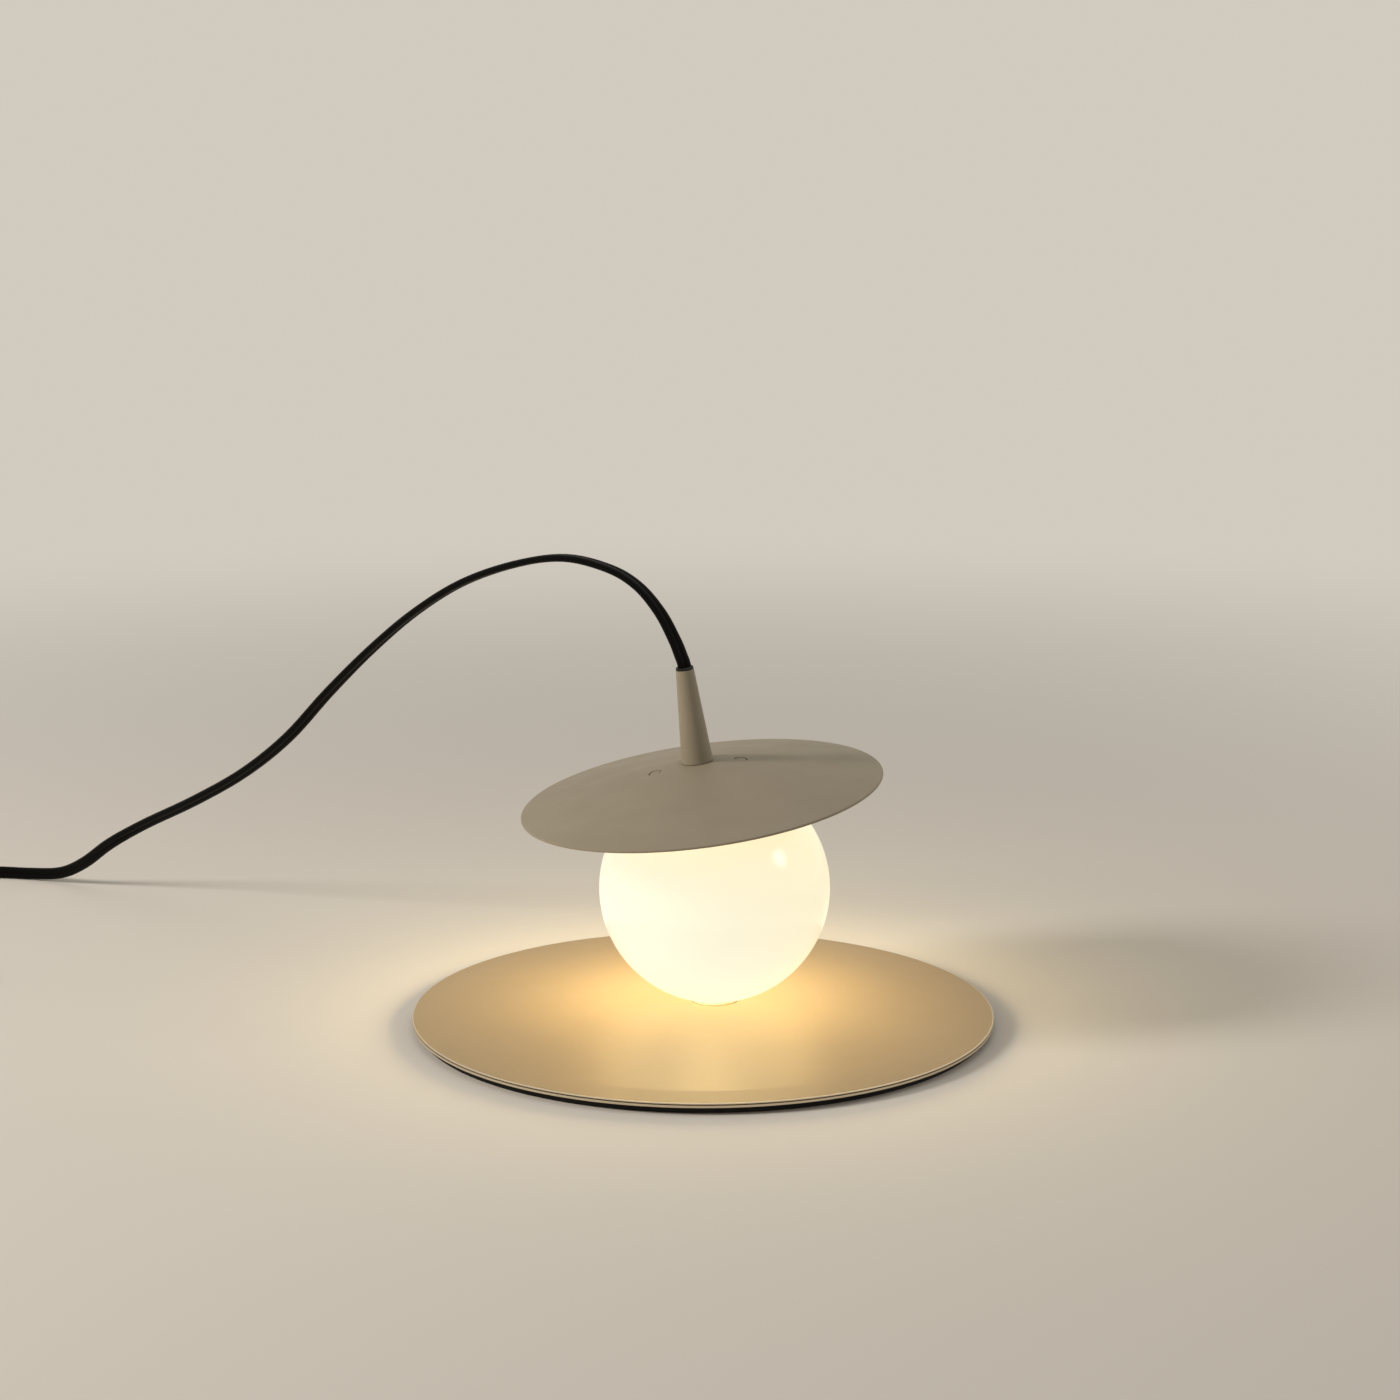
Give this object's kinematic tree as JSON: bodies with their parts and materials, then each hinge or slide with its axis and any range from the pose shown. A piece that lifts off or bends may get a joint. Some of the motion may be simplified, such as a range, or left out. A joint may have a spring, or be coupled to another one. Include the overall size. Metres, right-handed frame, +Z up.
{
  "type": "table lamp",
  "caption": "Table lamp: opal glass globe under a shallow conical hat, tilting in a ring seat on a flat round base, fed from above by an arching flat flex with switch and plug.",
  "frame": {"origin": "middle of the round base, on the surface that it stands on", "axes": "+Z up, -Y towards the viewer of the picture, +X to the viewer's right"},
  "size_m": [0.556, 0.3705, 0.1965],
  "materials": {
    "champagne_metal": "satin champagne gold",
    "beige_paint": "matte warm grey-beige paint on spun and turned aluminium",
    "opal_glass": "glossy opal glass, lit from inside",
    "black_flex": "semi-gloss black sheath",
    "black_foam": "matte closed-cell foam",
    "black_nylon": "matte moulded nylon",
    "black_rubber": "matte rubber",
    "black_plastic": "fine-grained moulded plastic",
    "black_gloss": "gloss moulded plastic",
    "tie_fabric": "woven hook and loop tape",
    "zinc_steel": "zinc plated",
    "white_steel": "white enamel on pressed steel",
    "bare_aluminium": "turned",
    "bare_brass": "bare",
    "nickel_pins": "nickel plated",
    "white_ceramic": "unglazed steatite",
    "white_silicone": "matte",
    "clear_silicone": "clear silicone that takes on the plate's gold",
    "frosted_bulb": "frosted, lit",
    "core_insulation": "satin insulation"
  },
  "bodies": {
    "base": {"base_plate": "champagne_metal", "foot_pad": "black_foam"},
    "seat": {"spindle": "black_nylon", "seat_ring": "clear_silicone", "spindle_washer": "zinc_steel", "spindle_screw": "zinc_steel", "flex_to_switch": "black_flex", "flex_to_coil": "black_flex", "flex_coil": "black_flex", "coil_ties": "tie_fabric", "flex_to_plug": "black_flex", "switch_lower_shell": "black_plastic", "switch_upper_shell": "black_plastic", "switch_screws": "zinc_steel", "rocker_pin": "zinc_steel", "switch_contacts": "bare_brass", "switch_cores": "core_insulation", "plug_body": "black_plastic", "plug_boot": "black_rubber", "plug_pins": "nickel_pins", "pin_sleeves": "black_plastic"},
    "head": {"hat": "beige_paint", "hat_rivets": "beige_paint", "gallery": "white_steel", "nipple": "zinc_steel", "nipple_nuts": "bare_brass", "holder_bracket": "zinc_steel", "holder_screws": "zinc_steel", "lampholder": "white_ceramic", "holder_contacts": "bare_brass", "core_wires": "core_insulation", "sleeve": "beige_paint", "sleeve_screw": "zinc_steel", "flex_grip": "black_nylon", "flex_bush": "black_rubber", "flex_in_sleeve": "black_flex"},
    "globe": {"globe": "opal_glass", "globe_collar": "bare_aluminium", "neck_gasket": "white_silicone"},
    "bulb": {"bulb_cap": "white_ceramic", "bulb_pins": "zinc_steel", "bulb_envelope": "frosted_bulb"},
    "rocker": {"switch_rocker": "black_gloss", "contact_bridge": "bare_brass"}
  },
  "joints": [
    {"name": "head_swivel", "type": "hinge", "parent": "base", "child": "seat", "pos_m": [0.005, 0.0155, 0.004], "axis": [0, 0, 1], "range_deg": [-60, 60]},
    {"name": "head_tilt", "type": "hinge", "parent": "seat", "child": "head", "pos_m": [0.005, 0.0155, 0.0554], "axis": [0.4067, -0.9135, 0], "range_deg": [-28, 12], "deforming": ["flex_to_switch"]},
    {"name": "globe_twist", "type": "hinge", "parent": "head", "child": "globe", "pos_m": [0.005, 0.0155, 0.0554], "axis": [-0.1303, -0.058, 0.9898], "range_deg": [0, 40]},
    {"name": "bulb_pull", "type": "slide", "parent": "head", "child": "bulb", "axis": [0.1303, 0.058, -0.9898], "range_m": [0, 0.008]},
    {"name": "rocker_press", "type": "hinge", "parent": "seat", "child": "rocker", "pos_m": [-0.4, 0.146, 0.0112], "axis": [-1, 0, 0], "range_deg": [0, 20]}
  ]
}
